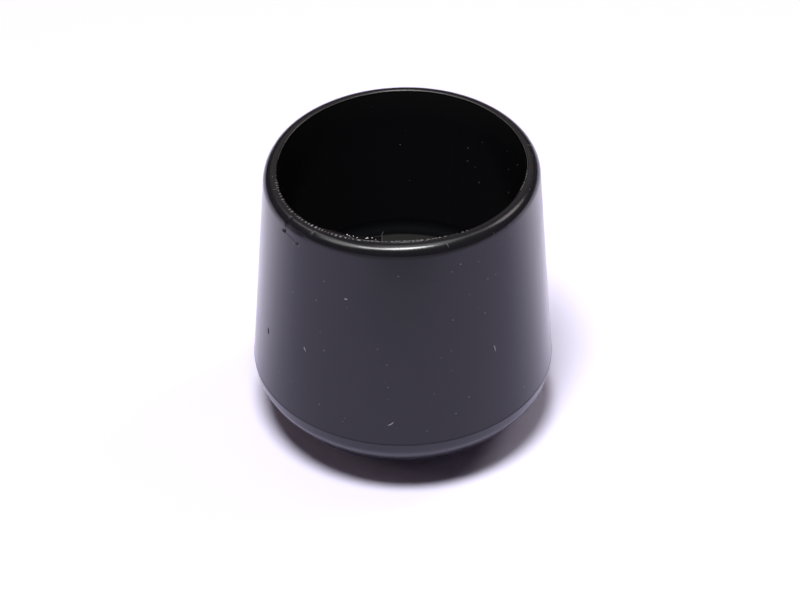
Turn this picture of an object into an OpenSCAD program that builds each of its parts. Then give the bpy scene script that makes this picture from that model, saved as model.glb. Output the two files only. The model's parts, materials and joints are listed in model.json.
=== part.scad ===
// End cap for a round tube: a tapered cup, moulded in one piece, that is
// pushed over the end of a bench or desk leg. The outside widens downwards
// to a crease. Under the crease a narrow band leans in and turns under in
// a round to a shallow dome, which ends in a flat sole. The blind bore
// takes the tube, and all that is below its floor is solid.
// Millimetres, +Z up, origin at the centre of the sole.

/* [Bore] */
// Diameter of the bore, which is the outside diameter of the tube
bore_d = 25; // [16:0.5:50]
// Depth of the bore, from the mouth down to its floor
bore_depth = 18; // [10:0.1:40]
// Round between the wall and the floor of the bore
bore_corner_r = 1.2; // [0.4:0.1:3]

/* [Wall] */
// Thickness of the wall, measured across the mouth
wall = 1.25; // [0.8:0.05:4]
// Round on the outer edge of the mouth
rim_r = 1.2; // [0.2:0.05:3]
// Angle at which the outside leans in towards the mouth, in degrees
taper = 4; // [1:0.25:8]

/* [Base] */
// Thickness of the solid base, from the floor of the bore to the sole
base_t = 13.4; // [5:0.1:20]
// Height of the crease above the sole
crease_h = 7.5; // [5:0.1:10]
// Height of the narrow band under the crease
band_h = 0.95; // [0.3:0.05:2]
// Angle at which the band leans in below the crease, in degrees
band_lean = 10; // [4:1:20]
// Round that turns the band under to the dome
edge_r = 2.6; // [0.5:0.1:3]

/* [Hidden] */
$fn = 128;
MOULDED_BLACK = "#26242b";

// Length by which a cut runs out past the face that it opens
cut_past = 1;
// Depth by which a face is let into the round that it meets
let_in = 0.0003;
// Least width of flat lip left between the bore and the round of the mouth
lip_flat = 0.04;
// How far the round has turned under, in degrees, where the dome takes over
edge_turn = 30;

height = base_t + bore_depth;
bore_r = bore_d / 2;

// The base, from the crease down: the band, the round and the dome
edge_drop = edge_r * (sin(edge_turn) - sin(band_lean));
dome_limit = bore_r / cos(edge_turn);
crease_z = min(crease_h, band_h + edge_drop + dome_limit * (1 - sin(edge_turn)));
band_z = crease_z - band_h;
dome_z = band_z - edge_drop;
dome_r = dome_z / (1 - sin(edge_turn));

// The outside, from the mouth down
mouth_r = bore_r + wall;
crease_r = mouth_r + (height - crease_z) * tan(taper);
band_r = crease_r - band_h * tan(band_lean);
edge_x = band_r - edge_r * cos(band_lean);
edge_z = band_z + edge_r * sin(band_lean);
sole_r = edge_x + (edge_r - dome_r) * cos(edge_turn);

// The round on the mouth's outer edge, tangent to the top and to the side
rim_share = (1 - sin(taper)) / cos(taper);
rim_round = min(rim_r, (wall - lip_flat) / rim_share);
rim_x = mouth_r - rim_round * rim_share;
rim_z = height - rim_round;

// Half section of the tapered side, from the crease up to the mouth
module side_section() {
    polygon([
        [0, crease_z],
        [crease_r, crease_z],
        [rim_x + (rim_round - let_in) * cos(taper), rim_z + (rim_round - let_in) * sin(taper)],
        [rim_x, height],
        [0, height]
    ]);
    translate([rim_x, rim_z]) circle(r = rim_round);
}

// Half section of the base: straight sides, filled out by the round and the dome
module base_section() {
    polygon([
        [0, 0],
        [sole_r, 0],
        [edge_x + edge_r * cos(edge_turn), dome_z],
        [band_r, band_z],
        [crease_r, crease_z],
        [0, crease_z]
    ]);
    translate([edge_x, edge_z]) circle(r = edge_r + let_in);
    intersection() {
        translate([sole_r, dome_r]) circle(r = dome_r);
        square([band_r, dome_z]);
    }
}

// Half section of the bore, with its rounded corner, open at the top
module bore_section() {
    corner_x = bore_r - bore_corner_r;
    corner_z = base_t + bore_corner_r;
    translate([0, base_t]) square([corner_x, bore_corner_r]);
    translate([0, corner_z]) square([bore_r, height - corner_z + cut_past]);
    translate([corner_x, corner_z]) circle(r = bore_corner_r);
}

module end_cap() {
    color(MOULDED_BLACK) difference() {
        rotate_extrude() {
            side_section();
            base_section();
        }
        rotate_extrude() bore_section();
    }
}

end_cap();
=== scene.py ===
# %% [markdown]
# # A moulded cap for the end of a round tube
# This notebook dresses a finished CAD part in Blender. The part is a black
# cup that is pushed over the end of a bench or desk leg. It is one moulding
# in a flexible, glossy plastic, so the work is in three places: the true
# shape of its rounded edges, the ragged flash that the mould left around the
# mouth, and a black surface that is told apart from a hole only by what it
# reflects.
#
# The CAD frame comes first. It is in metres, with +Z up and the origin at the
# centre of the sole. The pieces are drawn in millimetres in the same axes, and
# become metres when they are made into objects.

import json
import math
import random

import bmesh
import bpy
from mathutils import Matrix, Vector, noise


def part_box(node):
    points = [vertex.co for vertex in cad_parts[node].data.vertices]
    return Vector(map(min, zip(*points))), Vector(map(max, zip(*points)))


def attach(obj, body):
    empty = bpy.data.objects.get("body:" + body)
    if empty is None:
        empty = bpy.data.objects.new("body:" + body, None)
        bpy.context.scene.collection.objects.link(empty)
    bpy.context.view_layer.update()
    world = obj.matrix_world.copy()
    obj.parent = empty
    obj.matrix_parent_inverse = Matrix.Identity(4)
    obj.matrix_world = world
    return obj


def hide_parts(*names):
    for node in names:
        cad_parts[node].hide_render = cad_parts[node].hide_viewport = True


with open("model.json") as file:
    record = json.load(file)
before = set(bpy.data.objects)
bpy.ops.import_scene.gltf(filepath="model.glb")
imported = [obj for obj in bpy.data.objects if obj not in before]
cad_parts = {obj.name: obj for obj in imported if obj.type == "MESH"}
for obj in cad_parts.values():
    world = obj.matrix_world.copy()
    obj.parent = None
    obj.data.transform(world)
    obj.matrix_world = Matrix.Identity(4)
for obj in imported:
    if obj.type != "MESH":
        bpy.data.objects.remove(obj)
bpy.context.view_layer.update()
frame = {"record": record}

# %% [markdown]
# ## Sizes
# The outer sizes are read from the frame, and the bore from the record's
# mount, so they can't drift from the CAD part. What the box doesn't tell,
# such as a round, is named here once, in millimetres, as the part's source
# has it.

# %% Name the sizes
MM = 0.001
NODE = "end_cap"
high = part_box(NODE)[1]
bore = next(m for m in frame["record"]["mounts"] if m["name"] == "bore")

HEIGHT = high.z / MM
CREASE_R = high.x / MM
BORE_R = bore["dims"]["r_mm"]
CORNER_R = 1.2
BORE_FLOOR = HEIGHT - bore["dims"]["length_mm"] - CORNER_R
WALL = 1.25
RIM_R = 1.2
TAPER = math.radians(4)
CREASE_Z = 7.5
BAND = 0.95
BAND_LEAN = math.radians(10)
EDGE_R = 2.6
EDGE_TURN = math.radians(30)
print(f"cap: {HEIGHT:.1f} tall, {2 * CREASE_R:.1f} wide, bore floor at {BORE_FLOOR:.1f}")

# %% [markdown]
# ## Where the rounds have their centres
# The outside is a chain of rounds and straight runs, each tangent to the
# next: the rim, the tapered side, then below the crease a narrow band, the
# round that turns it under, and a shallow dome down to the flat sole. Two
# tangent rounds share one line through both of their centres. The dome also
# has to end level with the sole, and only one radius does both.

# %% Work out the centres
MOUTH_R = BORE_R + WALL
BAND_R = CREASE_R - BAND * math.tan(BAND_LEAN)
edge_centre = (BAND_R - EDGE_R * math.cos(BAND_LEAN), CREASE_Z - BAND + EDGE_R * math.sin(BAND_LEAN))
DOME_R = (edge_centre[1] - EDGE_R * math.sin(EDGE_TURN)) / (1 - math.sin(EDGE_TURN))
dome_centre = (edge_centre[0] + (EDGE_R - DOME_R) * math.cos(EDGE_TURN), DOME_R)

LIP_DROP = 0.06
top = HEIGHT - LIP_DROP
rim_centre = (MOUTH_R - RIM_R * (1 - math.sin(TAPER)) / math.cos(TAPER), top - RIM_R)
print(f"dome: radius {DOME_R:.2f}, sole: radius {dome_centre[0]:.2f}")

# %% [markdown]
# ## The half section
# A moulding like this is a body of revolution, so the natural way is to draw
# half of its section and spin it. Blender can draw the section too: a spin of
# a single vertex leaves an arc behind it, and an extrude leaves a straight
# line. Each corner then has its true round, at any resolution.
#
# Long faces beside a tight round would bend the shading, because a vertex
# takes the mean of the faces that meet in it. So each straight run gets a
# guard vertex close to both of its ends.

# %% Draw with a moving vertex
# How far a guard stands from its corner, and at most which share of the run that may be
GUARD = 0.12
GUARD_SHARE = 0.3


class Pen:
    """Draws a half section in the XZ plane, in millimetres."""

    def __init__(self, bm, x, z):
        self.bm = bm
        self.tip = bm.verts.new((x, 0, z))

    def step(self, x, z):
        made = bmesh.ops.extrude_vert_indiv(self.bm, verts=[self.tip])
        self.tip = made["verts"][0]
        self.tip.co = Vector((x, 0, z))

    def line(self, x, z, steps):
        """Runs straight to a point, in even steps between its two guards."""
        start = Vector(self.tip.co)
        run = Vector((x, 0, z)) - start
        guard = min(GUARD / run.length, GUARD_SHARE)
        shares = [guard] + [guard + (1 - 2 * guard) * (i + 1) / steps for i in range(steps)] + [1]
        for share in shares:
            spot = start + run * share
            self.step(spot.x, spot.z)

    def arc(self, centre, turn, steps):
        """Swings the tip about centre by turn radians, from +Z towards +X."""
        made = bmesh.ops.spin(
            self.bm, geom=[self.tip], cent=(centre[0], 0, centre[1]), axis=(0, 1, 0),
            dvec=(0, 0, 0), angle=turn, steps=steps, use_duplicate=False)
        self.tip = next(v for v in made["geom_last"] if isinstance(v, bmesh.types.BMVert))


print(f"pen: guards {GUARD} mm from each corner")

# %% [markdown]
# ## The moulding
# The pen starts in the middle of the bore's floor, goes up the bore and over
# the lip, down the tapered side, past the crease and under to the middle of
# the sole. At the crease the two halves of the mould met. The base came out a
# few hundredths of a millimetre wider than the side above it, and that ledge
# is the fine dark line that runs round the cap.
#
# The lip's inner edge is where the mould's core shut off. It stays a sharp
# corner here, and its burr is added later as a piece of its own. The lip lies
# a little below the height of the CAD part, which leaves room for the burr.

# %% Draw the section
# The ledge's width, and how far its corner is rounded off
LEDGE = 0.03
LEDGE_WORN = 0.01
# In how many steps each run and each round is drawn
FLOOR_STEPS, WALL_STEPS, BAND_STEPS, SOLE_STEPS = 3, 6, 2, 2
CORNER_STEPS, RIM_STEPS, EDGE_STEPS, DOME_STEPS = 10, 18, 12, 30

section = bmesh.new()
pen = Pen(section, 0, BORE_FLOOR)
pen.line(BORE_R - CORNER_R, BORE_FLOOR, FLOOR_STEPS)
pen.arc((BORE_R - CORNER_R, BORE_FLOOR + CORNER_R), -math.pi / 2, CORNER_STEPS)
pen.line(BORE_R, top, WALL_STEPS)
pen.step(rim_centre[0], top)
pen.arc(rim_centre, math.pi / 2 - TAPER, RIM_STEPS)
pen.line(CREASE_R - LEDGE, CREASE_Z + LEDGE + LEDGE_WORN, WALL_STEPS)
pen.step(CREASE_R - LEDGE_WORN, CREASE_Z + LEDGE_WORN)
pen.step(CREASE_R, CREASE_Z - LEDGE)
pen.line(BAND_R, CREASE_Z - BAND, BAND_STEPS)
pen.arc(edge_centre, EDGE_TURN - BAND_LEAN, EDGE_STEPS)
pen.arc(dome_centre, math.pi / 2 - EDGE_TURN, DOME_STEPS)
pen.line(0, 0, SOLE_STEPS)
print("section:", len(section.verts), "points")

# %% [markdown]
# ## Spin the section
# One full spin about Z closes the moulding, and merging brings its first and
# last copies together, and all the points on the axis. The steps are fine
# enough that a reflection runs round the side with no kink. The normals are
# worked out again once the mouth has its final shape, because a spin can
# leave a shape inside out.

# %% Spin the moulding
TURN_STEPS = 720
WELD = 0.002


def spin_round(bm, steps, angle=math.tau):
    """Spins all that the bmesh holds about the cap's axis, and closes a full turn."""
    bmesh.ops.spin(
        bm, geom=bm.verts[:] + bm.edges[:], cent=(0, 0, 0), axis=(0, 0, 1), dvec=(0, 0, 0),
        angle=angle, steps=steps, use_merge=angle == math.tau, use_duplicate=False)


def to_object(bm, name):
    """Turns a bmesh in millimetres into an object in metres that rides on the part's one body."""
    bmesh.ops.transform(bm, matrix=Matrix.Scale(MM, 4), verts=bm.verts)
    mesh = bpy.data.meshes.new(name)
    bm.to_mesh(mesh)
    bm.free()
    for face in mesh.polygons:
        face.use_smooth = True
    made = bpy.data.objects.new(name, mesh)
    bpy.context.scene.collection.objects.link(made)
    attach(made, "root")
    print(f"{name}: {len(mesh.polygons)} faces")
    return made


spin_round(section, TURN_STEPS)
bmesh.ops.remove_doubles(section, verts=section.verts, dist=WELD)
print("spun:", len(section.verts), "points")

# %% [markdown]
# ## A soft mouth and a trimmed gate
# A flexible moulding leaves its mould a little out of true. Here the mouth
# dips on its left, by a little under a millimetre, and stays level on the
# right. On the left of the front, the rim's shoulder also has a shallow flat
# between three and four millimetres long, where the gate, the runner through
# which the plastic came in, was trimmed off.
#
# Both could be sculpted, but they are simple functions of the azimuth, so
# the points that the spin has made are moved by them. Azimuths are measured
# from the front, and grow to the right.

# %% Measure round the axis
def azimuth(spot):
    return math.atan2(spot.x, -spot.y)


def at(turn, radius, z):
    return Vector((radius * math.sin(turn), -radius * math.cos(turn), z))


def smooth(value, start, end):
    """Runs smoothly from 0, where value is start, to 1, where it is end."""
    share = min(max((value - start) / (end - start), 0), 1)
    return share * share * (3 - 2 * share)


print(f"azimuth of the right side: {math.degrees(azimuth(Vector((1, 0, 0)))):.0f} degrees")

# %% Measure the dip
# Each dip has the azimuth of its middle, a depth and a sharpness
DIPS = [(math.radians(-68), 0.80, 7), (math.radians(-138), 0.33, 4)]
# The wall is drawn down from this height on, and by the full depth from this far below the lip
DIP_FOOT = 16
DIP_FULL = 1.5
# The outside also moves out along the taper, which starts at the bore and is full this far outside it
DIP_EASE = 0.5


def dip(turn):
    """How far the mouth dips at an azimuth."""
    return sum(depth * (0.5 + 0.5 * math.cos(turn - middle)) ** sharp for middle, depth, sharp in DIPS)


print(f"dip: {max(dip(math.radians(degrees)) for degrees in range(-180, 180)):.2f} mm at most")

# %% Measure the gate
GATE = (math.radians(-55.5), math.radians(-40.5))
GATE_EDGE = math.radians(1.2)
GATE_FADE = 5 * GATE_EDGE
GATE_DEPTH = 0.05
NICK_WIDE = math.radians(0.7)
NICK_DEPTH = 0.04
RIGHT_NICK = 0.6
# Where each cut starts and where it is full, in degrees of tilt from the rim's top to the side
FLAT_TILTS = (34, 64)
NICK_TILTS = (8, 30)
RIGHT_NICK_TILTS = (60, 42)
# All of them end before the rim meets the side
SIDE_TILTS = (85, 67)
# Only points above this depth below the rim's centre, and this far outside the bore, are cut
CUT_BELOW = 0.6
CUT_INSET = 0.3


def over_rim(tilt, ends):
    return smooth(tilt, math.radians(ends[0]), math.radians(ends[1]))


def gate_cut(turn, tilt):
    """The depth that is trimmed from the rim at an azimuth and a tilt."""
    left, right = GATE
    flat = smooth(turn, left, left + GATE_EDGE) * smooth(turn, right, right - GATE_FADE)
    cut = GATE_DEPTH * flat * over_rim(tilt, FLAT_TILTS)
    nick = math.exp(-((turn - left) / NICK_WIDE) ** 2)
    nick += RIGHT_NICK * math.exp(-((turn - right) / NICK_WIDE) ** 2) * over_rim(tilt, RIGHT_NICK_TILTS)
    cut += NICK_DEPTH * nick * over_rim(tilt, NICK_TILTS)
    return cut * over_rim(tilt, SIDE_TILTS)


print(f"gate: {(GATE[1] - GATE[0]) * MOUTH_R:.1f} mm long")

# %% Dip the mouth and trim the gate
for vert in section.verts:
    turn = azimuth(vert.co)
    radius = math.hypot(vert.co.x, vert.co.y)
    height = vert.co.z
    if height < DIP_FOOT:
        continue
    if height > rim_centre[1] - CUT_BELOW and radius > BORE_R + CUT_INSET:
        lean = Vector((radius - rim_centre[0], height - rim_centre[1]))
        tilt = math.atan2(lean.x, lean.y)
        cut = gate_cut(turn, tilt)
        radius -= cut * math.sin(tilt)
        height -= cut * math.cos(tilt)
    drop = dip(turn) * smooth(height, DIP_FOOT, top - DIP_FULL)
    outside = smooth(radius, BORE_R, BORE_R + DIP_EASE)
    vert.co = at(turn, radius + drop * outside * math.tan(TAPER), height - drop)

bmesh.ops.recalc_face_normals(section, faces=section.faces)
cap = to_object(section, "cap_moulding")
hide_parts(NODE)

# %% [markdown]
# ## Flash round the mouth
# Where the core met the cavity, the plastic crept into the gap. At the front,
# and mostly to the left of its middle, it froze there as a thin web that hangs
# into the bore, with a torn, ragged edge. A beaded burr follows the edge all
# the way round, and is strongest on the left and at the front.
#
# Cloth or sculpting could make such a film. A spin is simpler: a short row of
# points spun through part of a turn is a ribbon, and each of its points is
# then moved to the width that the web has at that azimuth, with seeded noise
# on top. Solidify gives the film its thickness. The burr is a thin tube that
# is spun all the way round and swells and shrinks as it follows the edge.

# %% Measure the flash
# How far the web reaches into the bore, at azimuths in degrees
WEB_WIDTHS = [
    (-40, 0.04), (-35, 0.40), (-29, 0.66), (-25, 0.50), (-20, 0.95), (-16, 0.90), (-12.5, 1.15),
    (-10.4, 1.30), (-9.6, 0.24), (0, 0.24), (10, 0.20), (17, 0.12), (26, 0.04)]
WEB_LEAST = 0.03
# How far it sinks for each millimetre of its width
WEB_SLOPE = 0.36
# How far its torn edge wanders, which it does only where the web is wide
RAGGED = 0.20
RAGGED_WIDTHS = (0.1, 0.5)
# The features of its two noises for each millimetre, and the share of the finer one
COARSE_TEAR, FINE_TEAR, FINE_SHARE = 2.2, 5.0, 0.7


def flutter(spot, scale, seed):
    """Seeded noise between about -1 and 1, in features for each millimetre."""
    return noise.noise(spot * scale + Vector((seed, seed * 0.7, 0)))


def along(stops, turn):
    """Reads a list of stops, in degrees, at an azimuth."""
    degrees = min(max(math.degrees(turn), stops[0][0]), stops[-1][0])
    for (start, start_value), (end, end_value) in zip(stops, stops[1:]):
        if degrees <= end:
            return start_value + (degrees - start) / (end - start) * (end_value - start_value)


def web_width(turn):
    spot = at(turn, BORE_R, 0)
    torn = flutter(spot, COARSE_TEAR, seed=5) + FINE_SHARE * flutter(spot, FINE_TEAR, seed=9)
    width = along(WEB_WIDTHS, turn)
    return max(width + RAGGED * torn * smooth(width, *RAGGED_WIDTHS), WEB_LEAST)


print("web: up to", max(width for _, width in WEB_WIDTHS), "mm wide before it is torn")

# %% Spin the web
WEB_ROW = 6
WEB_STEPS = 400
WEB_THICK = 0.05
# The web starts this far inside the wall and this far below the lip
WEB_ROOT = 0.05
WEB_DROP = 0.03
# Its height ripples, fully from this share of its width on
RIPPLE = 0.05
RIPPLE_FULL = 0.5
RIPPLE_SCALE = 2.6

film = bmesh.new()
start, end = math.radians(WEB_WIDTHS[0][0]), math.radians(WEB_WIDTHS[-1][0])
row = [film.verts.new(at(start, BORE_R + WEB_ROOT, top))]
for i in range(WEB_ROW):
    made = bmesh.ops.extrude_vert_indiv(film, verts=[row[-1]])
    row.append(made["verts"][0])
    row[-1].co = at(start, BORE_R - (i + 1) / WEB_ROW, top)
spin_round(film, WEB_STEPS, end - start)
for vert in film.verts:
    turn = azimuth(vert.co)
    share = min(max(BORE_R - math.hypot(vert.co.x, vert.co.y), -WEB_ROOT), 1)
    reach = share * web_width(turn) if share > 0 else share
    ripple = RIPPLE * smooth(share, 0, RIPPLE_FULL) * flutter(vert.co, RIPPLE_SCALE, seed=3)
    height = top - dip(turn) - WEB_DROP - max(reach, 0) * WEB_SLOPE + ripple
    vert.co = at(turn, BORE_R - reach, height)
bmesh.ops.solidify(film, geom=film.faces[:], thickness=WEB_THICK)
bmesh.ops.recalc_face_normals(film, faces=film.faces)
web = to_object(film, "flash_web")

# %% Measure the burr's teeth
# How far the burr stands in from the bore's wall, at azimuths in degrees
BURR_REACH = [
    (-180, 0.0), (-100, 0.0), (-85, -0.08), (-60, -0.18), (-50, -0.16), (-40, -0.12), (-30, -0.20),
    (-20, -0.14), (-15, -0.04), (-10, 0.10), (0, 0.20), (10, 0.18), (17, 0.10), (27, 0.0), (180, 0.0)]
BURR_R = 0.025
BURR_DROP = 0.058
TOOTH_PITCH = 0.45
TOOTH_LONG, TOOTH_SHORT, TOOTH_HIGH = 0.20, 0.08, 0.075
TOOTH_SHARP = 1.8
# The least size of a tooth: outside the strong stretches, and of any within them
TOOTH_FAINT, TOOTH_LEAST = 0.2, 0.6
# Azimuths where the teeth start, are full, start to fade and end
STRONG_TEETH = [(-100, -80, 22, 42), (62, 70, 80, 88)]
LONG_TEETH = (-95, -80, -34, -22)
# One noise spreads the teeth unevenly, and another makes some of them small
SPREAD, SPREAD_SCALE = 0.8, 0.9
SIZE_SCALE, SIZE_NOISE = 1.1, (-0.3, 0.3)


def stretch(degrees, start, full, fade, end):
    return smooth(degrees, start, full) * smooth(degrees, end, fade)


def tooth(turn):
    """How much of a tooth the burr has at an azimuth, from 0 between two teeth to 1."""
    spot = at(turn, BORE_R, 0)
    strong = sum(stretch(math.degrees(turn), *ends) for ends in STRONG_TEETH)
    size = TOOTH_FAINT + (1 - TOOTH_FAINT) * strong
    size *= TOOTH_LEAST + (1 - TOOTH_LEAST) * smooth(flutter(spot, SIZE_SCALE, seed=1), *SIZE_NOISE)
    waves = turn * BORE_R / TOOTH_PITCH + SPREAD * flutter(spot, SPREAD_SCALE, seed=7)
    return size * abs(math.sin(math.pi * waves)) ** TOOTH_SHARP


print(f"burr: {math.tau * BORE_R / TOOTH_PITCH:.0f} teeth round the mouth")

# %% Spin the burr
BURR_SIDES = 8
BURR_STEPS = 1600

tube = bmesh.new()
upright = Matrix.Translation((BORE_R, 0, top)) @ Matrix.Rotation(math.pi / 2, 4, "X")
bmesh.ops.create_circle(tube, cap_ends=False, radius=1, segments=BURR_SIDES, matrix=upright)
spin_round(tube, BURR_STEPS)
for vert in tube.verts:
    turn = azimuth(vert.co)
    out, up = math.hypot(vert.co.x, vert.co.y) - BORE_R, vert.co.z - top
    bump = tooth(turn)
    long = TOOTH_SHORT + (TOOTH_LONG - TOOTH_SHORT) * stretch(math.degrees(turn), *LONG_TEETH)
    vert.co = at(
        turn, BORE_R - along(BURR_REACH, turn) + out * (BURR_R + long * bump),
        top - dip(turn) - BURR_DROP + up * (BURR_R + TOOTH_HIGH * bump))
bmesh.ops.recalc_face_normals(tube, faces=tube.faces)
burr = to_object(tube, "mouth_burr")

# %% [markdown]
# ## Crumbs, threads and dust
# The cap has been handled. Two crumbs of flash are stuck on the side under
# the gate, with a scratch from one to the other, and thin threads of it lie
# on the gate's flat and on the side. A grey strand stands in the mouth, among
# pale specks where the web has torn; the strand's grey carries a painted
# sheen, and the specks' paleness painted glints. A few short fibres and a
# scatter of dust lie on the gloss, where they catch the light.
#
# Painted marks would be lost on a black surface, which shows only what it
# mirrors. Small solids work better, since they have a lit and a dark side
# like the real ones. The marks that the eye finds are placed one by one, and
# the rest comes from a seeded random scatter.

# %% Find spots on the cap
def on_side(turn, z, lift=0.0):
    return at(turn, CREASE_R - (z - CREASE_Z) * math.tan(TAPER) + lift, z)


def on_rim(turn, tilt, lift=0.0):
    radius = RIM_R + lift
    height = rim_centre[1] - dip(turn) + radius * math.cos(tilt)
    return at(turn, rim_centre[0] + radius * math.sin(tilt), height)


print(f"the side's radius under the rim: {on_side(math.pi / 2, rim_centre[1]).x:.2f} mm")

# %% Make crumbs and strands
# How much a crumb's lumps stand out, the scale of their noise, and how flat it is squashed
LUMPY, LUMP_SCALE = 0.35, 1.3
SQUASH = 0.6
# A strand's sides, and the share of its thickness that is left at both ends
STRAND_SIDES = 6
STRAND_END = 0.5


def crumb(bm, spot, radius, squash=SQUASH, fine=1):
    """A small rough lump, squashed towards the surface that it lies on."""
    outward = Vector((spot.x, spot.y, 0)).normalized()
    place = Matrix.Translation(spot) @ outward.to_track_quat("Z", "Y").to_matrix().to_4x4()
    made = bmesh.ops.create_icosphere(bm, subdivisions=fine, radius=1, matrix=Matrix.Identity(4))
    for vert in made["verts"]:
        vert.co *= radius * (1 + LUMPY * flutter(vert.co, LUMP_SCALE, seed=spot.x + spot.z))
        vert.co.z *= squash
    bmesh.ops.transform(bm, matrix=place, verts=made["verts"])


def strand(bm, spots, radius):
    """A thin thread through the spots, half as thick at both ends."""
    run = (spots[-1] - spots[0]).normalized()
    place = Matrix.Translation(spots[0]) @ run.to_track_quat("Z", "Y").to_matrix().to_4x4()
    made = bmesh.ops.create_circle(
        bm, cap_ends=True, radius=radius * STRAND_END, segments=STRAND_SIDES, matrix=place)
    ring = made["verts"]
    for i in range(1, len(spots)):
        edges = [e for e in bm.edges if e.verts[0] in ring and e.verts[1] in ring]
        grown = bmesh.ops.extrude_edge_only(bm, edges=edges)["geom"]
        ring = [v for v in grown if isinstance(v, bmesh.types.BMVert)]
        bmesh.ops.translate(bm, verts=ring, vec=spots[i] - spots[i - 1])
        share = i / (len(spots) - 1)
        wanted = radius * (STRAND_END + (1 - STRAND_END) * math.sin(math.pi * share))
        factor = Vector((1, 1, 1)) * (wanted / (ring[0].co - spots[i]).length)
        bmesh.ops.scale(bm, vec=factor, space=Matrix.Translation(-spots[i]), verts=ring)
    last = [e for e in bm.edges if e.verts[0] in ring and e.verts[1] in ring]
    bmesh.ops.contextual_create(bm, geom=last)


print("crumbs and strands are ready")

# %% Stick on the crumbs
FINE_CRUMB = 2
STUCK_LIFT = 0.02
CRUMB_A = (math.radians(-56.6), 28.93)
CRUMB_B = (math.radians(-48.3), 28.60)
# Each lump has its crumb's spot, how far it lies aside of it, in radians, and above it, and a radius
LUMPS = [
    (CRUMB_A, 0, 0, 0.24), (CRUMB_A, 0.014, 0.22, 0.12), (CRUMB_B, 0, 0, 0.17),
    (CRUMB_B, 0.012, 0.10, 0.11)]

scraps = bmesh.new()
for (turn, z), aside, above, radius in LUMPS:
    crumb(scraps, on_side(turn + aside, z + above, STUCK_LIFT), radius, fine=FINE_CRUMB)
print("crumbs:", len(scraps.verts), "points")

# %% Lay the scratch and the threads
SCRATCH_R, SCRATCH_STEPS, SCRATCH_SWAY = 0.026, 8, 0.10
THREAD_SPOTS = 5
# The riser starts aside of the first crumb, in radians, and above it, and goes up in steps
RISER_R, RISER_ASIDE, RISER_ABOVE, RISER_STEP = 0.018, 0.01, 0.2, 0.2
# The other two have a first azimuth in degrees and its step, and a first height or tilt and its step
SPLINTER_R, SPLINTER_TURN, SPLINTER_Z = 0.04, (-66.3, 0.15), (15.1, -0.16)
GATE_THREAD_R, GATE_THREAD_TURN, GATE_THREAD_TILT = 0.035, (-47.5, 1), (0.60, -0.02)
GATE_THREAD_LIFT = 0.01


def spaced(first, step):
    return [first + step * i for i in range(THREAD_SPOTS)]


scratch = []
for i in range(SCRATCH_STEPS + 1):
    share = i / SCRATCH_STEPS
    turn = CRUMB_A[0] + share * (CRUMB_B[0] - CRUMB_A[0])
    sway = SCRATCH_SWAY * math.sin(math.pi * share)
    scratch.append(on_side(turn, CRUMB_A[1] + share * (CRUMB_B[1] - CRUMB_A[1]) + sway))
riser = [on_side(CRUMB_A[0] + RISER_ASIDE, z) for z in spaced(CRUMB_A[1] + RISER_ABOVE, RISER_STEP)]
splinter = [
    on_side(math.radians(degrees), z) for degrees, z in zip(spaced(*SPLINTER_TURN), spaced(*SPLINTER_Z))]
gate_thread = [
    on_rim(math.radians(degrees), tilt, GATE_THREAD_LIFT)
    for degrees, tilt in zip(spaced(*GATE_THREAD_TURN), spaced(*GATE_THREAD_TILT))]

strand(scraps, scratch, SCRATCH_R)
strand(scraps, riser, RISER_R)
strand(scraps, splinter, SPLINTER_R)
strand(scraps, gate_thread, GATE_THREAD_R)
bmesh.ops.recalc_face_normals(scraps, faces=scraps.faces)
scraps_piece = to_object(scraps, "flash_scraps")

# %% Stand the torn strand in the mouth
STRAND_TURN = math.radians(-9.7)
STRAND_R = 0.05
STRAND_SPOTS = 8
# How far it starts in from the bore's wall and below the lip, and what each step adds to that
STRAND_ROOT = 0.1
STRAND_IN, STRAND_UP, STRAND_SWAY = 0.2, 0.03, 0.005

torn_bits = bmesh.new()
root_z = top - dip(STRAND_TURN) - STRAND_ROOT
sliver = []
for i in range(STRAND_SPOTS):
    turn = STRAND_TURN + STRAND_SWAY * math.sin(i)
    sliver.append(at(turn, BORE_R - STRAND_ROOT - STRAND_IN * i, root_z + STRAND_UP * i))
strand(torn_bits, sliver, STRAND_R)
bmesh.ops.recalc_face_normals(torn_bits, faces=torn_bits.faces)
torn = to_object(torn_bits, "torn_strand")

# %% Scatter pale specks over the tear
TEAR_SEED = 17
TEAR_COUNT = 46
TEAR_STRETCH = (-37, -11)
TEAR_R, TEAR_R_MORE = 0.022, 0.045
TEAR_SQUASH = 0.8
TEAR_DROP = 0.02
# Each large tear has an azimuth in degrees, a reach into the bore and a radius
LARGE_TEARS = [
    (-26.6, 0.50, 0.11), (-25.2, 0.38, 0.08), (-17.0, 0.40, 0.09), (-16.6, 0.62, 0.13),
    (-14.4, 0.74, 0.12)]

chance = random.Random(TEAR_SEED)
tears = list(LARGE_TEARS)
for _ in range(TEAR_COUNT):
    degrees = chance.uniform(*TEAR_STRETCH)
    reach = chance.uniform(-WEB_ROOT, 1) * along(WEB_WIDTHS, math.radians(degrees))
    tears.append((degrees, reach, TEAR_R + TEAR_R_MORE * chance.random() ** 2))
# Painted glints: the specks' pale grey is made paler still, for the light that they catch
pale_glint_bits = bmesh.new()
for degrees, reach, radius in tears:
    turn = math.radians(degrees)
    height = top - dip(turn) - TEAR_DROP - max(reach, 0) * WEB_SLOPE
    crumb(pale_glint_bits, at(turn, BORE_R - reach, height), radius, TEAR_SQUASH)
bmesh.ops.recalc_face_normals(pale_glint_bits, faces=pale_glint_bits.faces)
tear_specks = to_object(pale_glint_bits, "tear_specks")

# %% Lay the fibres
FIBRE_R = 0.055
FIBRE_SPOTS = 5
FIBRE_BEND = 0.03
# Each fibre has an azimuth in degrees, a height, a length and a slant in radians
FIBRES = [
    (-41.4, 16.61, 0.50, -0.95), (-23.0, 24.69, 0.32, 0.1), (-4.8, 10.18, 0.70, 0.65),
    (38.0, 17.03, 0.75, 1.75)]
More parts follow.
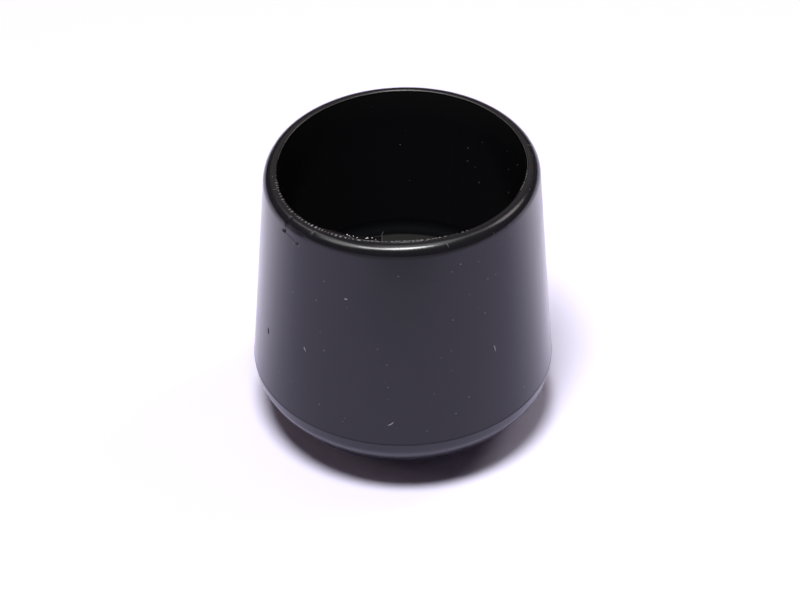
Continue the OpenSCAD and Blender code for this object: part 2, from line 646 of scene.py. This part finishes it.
# Each tick of dust on the rim has an azimuth in degrees, a first and a last tilt in radians, and a radius
RIM_TICKS = [
    (-100, 0.3, 1.1, 0.020), (-77, 0.1, 0.85, 0.024), (19, 0.50, 0.90, 0.013),
    (103, 0.2, 0.8, 0.015), (125, 0.3, 0.9, 0.015), (152, 0.2, 0.7, 0.015)]
TICK_SPOTS = 5
TICK_LIFT = 0.005
TICK_SWAY, TICK_WAVES = 0.003, 9

dust = bmesh.new()
for degrees, z, length, slant in FIBRES:
    spots = []
    for i in range(FIBRE_SPOTS):
        from_middle = i - FIBRE_SPOTS // 2
        run = from_middle / (FIBRE_SPOTS - 1) * length
        bend = FIBRE_BEND * (abs(from_middle) - 1)
        turn = math.radians(degrees) + (run * math.cos(slant) - bend * math.sin(slant)) / CREASE_R
        spots.append(on_side(turn, z + run * math.sin(slant) + bend * math.cos(slant), STUCK_LIFT))
    strand(dust, spots, FIBRE_R)

for degrees, first, last, radius in RIM_TICKS:
    spots = []
    for i in range(TICK_SPOTS):
        tilt = first + (last - first) * i / (TICK_SPOTS - 1)
        sway = TICK_SWAY * math.sin(TICK_WAVES * tilt)
        spots.append(on_rim(math.radians(degrees) + sway, tilt, TICK_LIFT))
    strand(dust, spots, radius)
print("laid:", len(FIBRES), "fibres and", len(RIM_TICKS), "ticks on the rim")

# %% Scatter the dust
DUST_SEED = 41
SPECK_R = 0.043
# Azimuths in degrees and heights of the specks that stand out
SPECKS = [
    (-49.1, 22.59), (19.9, 22.28), (34.1, 21.83), (-22.9, 10.02), (-6.3, 17.48), (-5.9, 14.71),
    (25.7, 12.30), (20.2, 10.71), (8.8, 9.16), (36.2, 25.72), (-23.4, 9.55), (-49.8, 28.40)]
SIDE_COUNT, SIDE_Z, SIDE_R, SIDE_R_MORE = 150, (7.8, 29.5), 0.018, 0.030
RIM_COUNT, RIM_TILTS, RIM_SPECK_R = 26, (0.2, 1.5), (0.02, 0.05)
BORE_COUNT, BORE_Z, BORE_SPECK_R = 45, (15.5, 31), (0.015, 0.038)

chance = random.Random(DUST_SEED)
for degrees, z in SPECKS:
    crumb(dust, on_side(math.radians(degrees), z), SPECK_R)
for _ in range(SIDE_COUNT):
    turn = chance.uniform(-math.pi, math.pi)
    crumb(dust, on_side(turn, chance.uniform(*SIDE_Z)), SIDE_R + SIDE_R_MORE * chance.random() ** 2)
for _ in range(RIM_COUNT):
    turn = chance.uniform(-math.pi, math.pi)
    crumb(dust, on_rim(turn, chance.uniform(*RIM_TILTS)), chance.uniform(*RIM_SPECK_R))
for _ in range(BORE_COUNT):
    turn = chance.uniform(-math.pi, math.pi)
    crumb(dust, at(turn, BORE_R, chance.uniform(*BORE_Z)), chance.uniform(*BORE_SPECK_R))
bmesh.ops.recalc_face_normals(dust, faces=dust.faces)
dust_piece = to_object(dust, "settled_dust")

# %% [markdown]
# ## Shader maths as plain expressions
# A material is a graph of nodes, and a graph that is written call by call is
# hard to read. The first class below wraps one socket and overloads the
# operators, so that an expression such as `0.5 + smear * 0.2` adds its own
# Math nodes. The second makes every other node with one method.

# %% Do sums with sockets
class Value:
    """One output socket of a shader graph, which works in sums like a number."""

    def __init__(self, graph, socket):
        self.graph = graph
        self.socket = socket

    def math(self, operation, first, second):
        return self.graph.node("ShaderNodeMath", {"operation": operation}, {0: first, 1: second})

    def __add__(self, other):
        return self.math("ADD", self, other)

    def __radd__(self, other):
        return self.math("ADD", other, self)

    def __mul__(self, other):
        return self.math("MULTIPLY", self, other)

    def __rmul__(self, other):
        return self.math("MULTIPLY", other, self)

    def __pow__(self, other):
        return self.math("POWER", self, other)

    def __rpow__(self, other):
        return self.math("POWER", other, self)

    # Python answers 0 < value with value > 0, so the two belong together
    def __lt__(self, other):
        return self.math("LESS_THAN", self, other)

    def __gt__(self, other):
        return self.math("GREATER_THAN", self, other)

    def ramp(self, start, end):
        """Runs smoothly from 0, where the value is start, to 1, where it is end."""
        values = {"Value": self, "From Min": start, "From Max": end}
        return self.graph.node("ShaderNodeMapRange", {"interpolation_type": "SMOOTHSTEP"}, values)


print("sockets can be added, multiplied, raised to a power and compared")

# %% Build a graph of nodes
class Graph:
    """The node tree of a material or of the world."""

    def __init__(self, owner):
        owner.use_nodes = True
        self.tree = owner.node_tree
        self.tree.nodes.clear()

    def node(self, kind, settings=None, values=None, out=0):
        made = self.tree.nodes.new(kind)
        for name, setting in (settings or {}).items():
            setattr(made, name, setting)
        for name, value in (values or {}).items():
            if isinstance(value, Value):
                self.tree.links.new(value.socket, made.inputs[name])
            else:
                made.inputs[name].default_value = value
        return Value(self, made.outputs[out])

    def mix(self, share, first, second):
        """Mixes two colours, or links to them. Sockets 6 and 7 and output 2 are the ones for colours."""
        return self.node("ShaderNodeMix", {"data_type": "RGBA"}, {0: share, 6: first, 7: second}, out=2)

    def place(self):
        """The point that is shaded, as one vector and as its three coordinates on the object."""
        spot = self.node("ShaderNodeTexCoord", out="Object")
        split = self.tree.nodes.new("ShaderNodeSeparateXYZ")
        self.tree.links.new(spot.socket, split.inputs[0])
        return spot, *(Value(self, socket) for socket in split.outputs)

    def noise(self, spot, scale, detail):
        """Soft noise from 0 to 1, with scale in features for each metre."""
        values = {"Vector": spot, "Scale": scale, "Detail": detail}
        return self.node("ShaderNodeTexNoise", {"noise_dimensions": "3D"}, values)

    def output(self, kind, surface):
        made = self.tree.nodes.new(kind)
        self.tree.links.new(surface.socket, made.inputs["Surface"])


print("shader graph helpers are ready")

# %% [markdown]
# ## Black plastic
# A glossy black moulding has hardly any colour of its own. What the eye sees
# on it is a weak mirror image of the table and the lamps, about one part in
# twenty-five, and much more of it where the surface turns away. So the base
# colour stays nearly black, and the roughness does the work: low on the
# outside, where the mould was polished, and high in the bore, where the core
# left a dull face that has since gathered dust.
#
# The two finishes are two shaders, mixed by a mask that is 1 within the bore.
# The dull one has almost no mirror image, like a matt face that is seen down
# a deep bore. Its wall is painted shade, darker than the outside plastic, and
# turns lighter towards the mouth as painted light; the flat floor is paler
# with dust.

# %% Name the plastic's colours and finish
PLASTIC = (0.0105, 0.0100, 0.0125, 1)
# Painted shade: the bore's wall is darker than the outside plastic, down to its corner
BORE_WALL_PAINTED_SHADE = (0.0032, 0.0035, 0.0044, 1)
# Painted light: the wall turns lighter towards the mouth
BORE_MOUTH_PAINTED_LIGHT = (0.0120, 0.0118, 0.0112, 1)
DUSTY_FLOOR = (0.026, 0.0255, 0.0245, 1)
DUST_R = 11.2
PLASTIC_INDEX = 1.5
POLISHED, SMEARED, GRAINY = 0.19, 0.07, 0.02
DULL, DULL_SMEARED = 0.5, 0.2
BORE_SHEEN = 0.015
# Half the width over which the bore's mask and the dust's mask fade
BORE_BORDER, DUST_BORDER = 0.02, 0.15
# Where a mask fades in or out, as distances from the bore's floor, and from the cap's top
FLOOR_BORDER = (0.2, 0.1)
# The painted light near the mouth fades in between these distances below the cap's top
PAINTED_LIGHT_FADE = (4.5, 0.5)
# Features for each metre in the smears, the mould's grain and its faint ripple
SMEAR_SCALE, GRAIN_SCALE, PEEL_SCALE = 90, 2600, 450
# The smears lie where their noise is between these
SMEAR_NOISE = (0.4, 0.75)
# The relief's strength and depth, and how much of it is grain
RELIEF, RELIEF_DEEP, RELIEF_GRAIN = 0.12, 0.02, 0.25
print("plastic: roughness", POLISHED, "outside and", DULL, "in the bore")

# %% Make the black plastic
def black_plastic():
    material = bpy.data.materials.new("moulded_black")
    graph = Graph(material)
    spot, x, y, z = graph.place()
    radius = (x * x + y * y) ** 0.5
    in_bore = radius.ramp((BORE_R + BORE_BORDER) * MM, (BORE_R - BORE_BORDER) * MM)
    above_floor = z.ramp((BORE_FLOOR - FLOOR_BORDER[0]) * MM, (BORE_FLOOR - FLOOR_BORDER[1]) * MM)
    near_floor = z.ramp((BORE_FLOOR + FLOOR_BORDER[0]) * MM, (BORE_FLOOR + FLOOR_BORDER[1]) * MM)
    dusty = radius.ramp((DUST_R + DUST_BORDER) * MM, (DUST_R - DUST_BORDER) * MM) * near_floor
    # Painted light near the mouth, over the painted shade further down
    painted_mouth_light = z.ramp((HEIGHT - PAINTED_LIGHT_FADE[0]) * MM, (HEIGHT - PAINTED_LIGHT_FADE[1]) * MM)

    smear = graph.noise(spot, SMEAR_SCALE, detail=3.0)
    grain = graph.noise(spot, GRAIN_SCALE, detail=2.0)
    peel = graph.noise(spot, PEEL_SCALE, detail=2.0)
    relief = graph.node("ShaderNodeBump", None, {
        "Strength": RELIEF, "Distance": RELIEF_DEEP * MM, "Height": peel + grain * RELIEF_GRAIN})
    smeared = smear.ramp(*SMEAR_NOISE)
    polished = graph.node("ShaderNodeBsdfPrincipled", None, {
        "Base Color": PLASTIC, "Roughness": POLISHED + smeared * SMEARED + grain * GRAINY,
        "IOR": PLASTIC_INDEX, "Normal": relief})
    # The wall's colour is painted shade, with painted light near the mouth
    wall = graph.mix(painted_mouth_light, BORE_WALL_PAINTED_SHADE, BORE_MOUTH_PAINTED_LIGHT)
    dull = graph.node("ShaderNodeBsdfPrincipled", None, {
        "Base Color": graph.mix(dusty, wall, DUSTY_FLOOR), "Roughness": DULL + smear * DULL_SMEARED,
        "IOR": PLASTIC_INDEX, "Specular IOR Level": BORE_SHEEN, "Normal": relief})
    surface = graph.node("ShaderNodeMixShader", None, {0: in_bore * above_floor, 1: polished, 2: dull})
    graph.output("ShaderNodeOutputMaterial", surface)
    return material


black = black_plastic()
cap.data.materials.append(black)
print("material:", black.name)

# %% [markdown]
# ## Flash and dust
# The same plastic turns grey where it is stretched and torn, so the burr and
# the specks are paler than the moulding, and the web, which was only
# squeezed, stays black. Painted light goes on top of that grey: a painted
# glint at the front of the burr, a painted sheen on the torn strand and
# painted glints on the pale specks. None of them needs a pattern: they are
# so small that their own shape breaks up the light.

# %% Make the flash and the dust
FLASH = (0.005, 0.005, 0.0055, 1)
# Grey torn plastic, with a painted sheen for the light that the strand catches
TORN_GREY_AND_SHEEN = (0.055, 0.054, 0.056, 1)
# Pale torn plastic, with painted glints on top
TORN_PALE_AND_PAINTED_GLINT = (0.68, 0.67, 0.69, 1)
BURR_DARK = (0.105, 0.103, 0.107, 1)
BURR_FRONT_PAINTED_GLINT = (0.15, 0.147, 0.152, 1)
BURR_ROUGH = 0.25
DUST = (0.34, 0.33, 0.345, 1)
# The stretch of X over which the burr's painted glint fades in, on each side of the front
GLINT_LEFT, GLINT_RIGHT = (-10, -5), (8, 4)


def plain(name, colour, roughness):
    material = bpy.data.materials.new(name)
    graph = Graph(material)
    surface = graph.node("ShaderNodeBsdfPrincipled", None, {
        "Base Color": colour, "Roughness": roughness, "IOR": PLASTIC_INDEX})
    graph.output("ShaderNodeOutputMaterial", surface)
    return material


def burr_grey():
    """Torn grey plastic, palest at the front of the mouth, where a painted glint is added."""
    material = bpy.data.materials.new("burr_grey")
    graph = Graph(material)
    x, y = graph.place()[1:3]
    left = x.ramp(GLINT_LEFT[0] * MM, GLINT_LEFT[1] * MM)
    right = x.ramp(GLINT_RIGHT[0] * MM, GLINT_RIGHT[1] * MM)
    # Painted glint: the burr's grey turns paler at the front of the mouth
    colour = graph.mix(left * right * (y < 0), BURR_DARK, BURR_FRONT_PAINTED_GLINT)
    surface = graph.node("ShaderNodeBsdfPrincipled", None, {
        "Base Color": colour, "Roughness": BURR_ROUGH, "IOR": PLASTIC_INDEX})
    graph.output("ShaderNodeOutputMaterial", surface)
    return material


flash_black = plain("flash_black", FLASH, roughness=0.2)
for piece in (web, scraps_piece):
    piece.data.materials.append(flash_black)
burr.data.materials.append(burr_grey())
torn.data.materials.append(plain("torn_grey", TORN_GREY_AND_SHEEN, roughness=0.35))
tear_specks.data.materials.append(plain("torn_pale", TORN_PALE_AND_PAINTED_GLINT, roughness=0.3))
dust_piece.data.materials.append(plain("pale_dust", DUST, roughness=0.9))
print("materials: flash_black, burr_grey, torn_grey, torn_pale, pale_dust")

# %% [markdown]
# ## The table
# The cap stands on a bright white table. The table has to be white for the
# camera without putting any more light on the part, so its colour depends on
# who looks: the camera sees it white, and the light that bounces off it sees
# a plain pale grey.
#
# The part's side mirrors the table too, and a plain white one would make the
# whole side one flat grey. So a falloff of light is painted into the table as
# reflections see it: darker towards the front, and brighter behind the part.

# %% Build the table
TABLE_GREY = (0.8, 0.8, 0.8, 1)
TABLE_SEEN = (1.06, 1.02, 1.24, 1)
# Painted light falloff, seen only in reflections: dark at the front, bright behind the part
TABLE_FRONT = (0.39, 0.375, 0.49, 1)
TABLE_NEAR = (0.775, 0.73, 1.03, 1)
TABLE_FAR = (1.38, 1.32, 1.62, 1)
TABLE_HALF = 2.0
# Where along Y, in millimetres, the mirrored table turns from one colour to the next
FRONT_TO_NEAR = (-65, -54.5)
NEAR_TO_FAR = (-15, 25)


def table_white():
    material = bpy.data.materials.new("table_white")
    graph = Graph(material)
    y = graph.place()[2]
    camera_ray = graph.node("ShaderNodeLightPath", out="Is Camera Ray")
    glossy_ray = graph.node("ShaderNodeLightPath", out="Is Glossy Ray")
    near = y.ramp(FRONT_TO_NEAR[0] * MM, FRONT_TO_NEAR[1] * MM)
    far = y.ramp(NEAR_TO_FAR[0] * MM, NEAR_TO_FAR[1] * MM)
    mirrored = graph.mix(far, graph.mix(near, TABLE_FRONT, TABLE_NEAR), TABLE_FAR)
    seen = graph.mix(camera_ray, TABLE_GREY, TABLE_SEEN)
    surface = graph.node("ShaderNodeBsdfDiffuse", None, {"Color": graph.mix(glossy_ray, seen, mirrored)})
    graph.output("ShaderNodeOutputMaterial", surface)
    return material


sheet = bmesh.new()
bmesh.ops.create_grid(sheet, x_segments=1, y_segments=1, size=TABLE_HALF)
mesh = bpy.data.meshes.new("table")
sheet.to_mesh(mesh)
sheet.free()
table = bpy.data.objects.new("table", mesh)
bpy.context.scene.collection.objects.link(table)
table.data.materials.append(table_white())
print(f"table: {2 * TABLE_HALF:.0f} m wide")

# %% [markdown]
# ## The lamps
# The main light is an oval softbox nearly overhead. A weak lamp behind the
# part on the right, a glow from the ceiling, a dim warm wall at the back and a
# faint fill on the left go with it. They set how bright the table is, and how
# dark and how soft the part's shadow is.
#
# A black gloss shows little of that light. It shows the lamps themselves, as
# highlights on the rim, and one lamp can rarely give both the shadow and the
# highlight that is wanted. Photographers add reflector cards for this. Here
# two of the lamps give no highlight, and others, the sheens, give nothing
# else, which is set by the rays that can see them.

# %% Make a softbox
LAMP_AWAY = 0.7


def softbox(name, direction, half_wide, half_high, light_on_table, roll=0, colour=(1, 1, 1), job="both"):
    """An oval lamp, with its half sizes and its roll in degrees as seen from the part.

    Its power is the one that lights a white sheet at the part to light_on_table. A lamp
    with the job "table" gives no highlight, and one with the job "sheen" gives nothing else.
    """
    towards = Vector(direction).normalized()
    data = bpy.data.lights.new(name, "AREA")
    data.shape = "ELLIPSE"
    data.size = 2 * LAMP_AWAY * math.tan(math.radians(half_wide))
    data.size_y = 2 * LAMP_AWAY * math.tan(math.radians(half_high))
    data.energy = light_on_table * math.pi ** 2 * LAMP_AWAY ** 2 / towards.z
    data.color = colour
    lamp = bpy.data.objects.new(name, data)
    lamp.location = towards * LAMP_AWAY
    facing = towards.to_track_quat("Z", "Y").to_matrix() @ Matrix.Rotation(math.radians(roll), 3, "Z")
    lamp.rotation_euler = facing.to_euler()
    lamp.visible_diffuse = job != "sheen"
    lamp.visible_glossy = job != "table"
    bpy.context.scene.collection.objects.link(lamp)
    print(f"{name}: {light_on_table:.3f}")


print(f"softboxes: {LAMP_AWAY} m from the part")

# %% Hang the lamps
softbox("main_softbox", (-0.07, -0.285, 1), 9.5, 7, 0.89, roll=28, job="table")
softbox("left_fill", (-0.7, -0.25, 0.6), 12, 12, 0.02, colour=(1, 0.80, 0.80), job="table")
softbox("back_lamp", (0.615, 0.307, 0.725), 10, 10, 0.09, colour=(1, 0.92, 0.94))
softbox("ceiling_glow", (0.37, 0.13, 0.92), 6, 18, 0.038)
softbox("warm_wall", (0.0, 0.77, 0.64), 30, 14, 0.030, colour=(1, 0.84, 0.78))
softbox("main_sheen", (-0.01, -0.24, 1), 12, 5.5, 0.80, roll=26, job="sheen")
softbox("overhead_sheen", (0.07, -0.02, 1), 22, 15, 0.16, roll=28, job="sheen")
softbox("near_sheen", (-0.31, -0.275, 0.91), 8, 6, 0.19, roll=29, job="sheen")
softbox("left_sheen", (-0.52, -0.19, 0.83), 15, 12, 0.15, roll=20, job="sheen")
softbox("far_sheen", (-0.52, 0.21, 0.83), 22, 6, 0.072, roll=36, job="sheen")
softbox("back_sheen", (0.615, 0.307, 0.725), 10, 10, 0.035, job="sheen")

# %% Darken the room
ROOM = (0.032, 0.024, 0.028, 1)
WHITE = (1, 1, 1, 1)

world = bpy.data.worlds.new("dark_room")
bpy.context.scene.world = world
room = Graph(world)
room_colour = room.mix(room.node("ShaderNodeLightPath", out="Is Camera Ray"), ROOM, WHITE)
room.output("ShaderNodeOutputWorld", room.node("ShaderNodeBackground", None, {"Color": room_colour}))
print("room: dim, and white to the camera alone")

# %% [markdown]
# ## The camera
# The camera looks down on the cap from the front, from less than half a metre
# away through a long lens, so that both the open mouth and the crease above
# the base are in view. The lens is named by its focal length in pixels of the
# finished image, which doesn't depend on a sensor, and Blender's millimetres
# follow from it.

# %% Set the camera
IMAGE_WIDE = 800
FOCAL_PIXELS = 3601
SENSOR_MM = 36
AWAY = 0.3692
ELEVATION = math.radians(39.6)
ROLL = math.radians(-0.4)
AIM = Vector((-0.278, 0, 13.69)) * MM
CLIP_START = 0.01

back = Vector((0, -math.cos(ELEVATION), math.sin(ELEVATION)))
camera_data = bpy.data.cameras.new("camera")
camera_data.sensor_width = SENSOR_MM
camera_data.lens = FOCAL_PIXELS / IMAGE_WIDE * SENSOR_MM
camera_data.clip_start = CLIP_START
camera = bpy.data.objects.new("camera", camera_data)
camera.location = AIM + back * AWAY
turned = back.to_track_quat("Z", "Y").to_matrix() @ Matrix.Rotation(ROLL, 3, "Z")
camera.rotation_euler = turned.to_euler()
bpy.context.scene.collection.objects.link(camera)
bpy.context.scene.camera = camera
bpy.context.scene.view_settings.view_transform = "Standard"
print(f"camera: {camera_data.lens:.0f} mm lens, {AWAY * 1000:.0f} mm away")
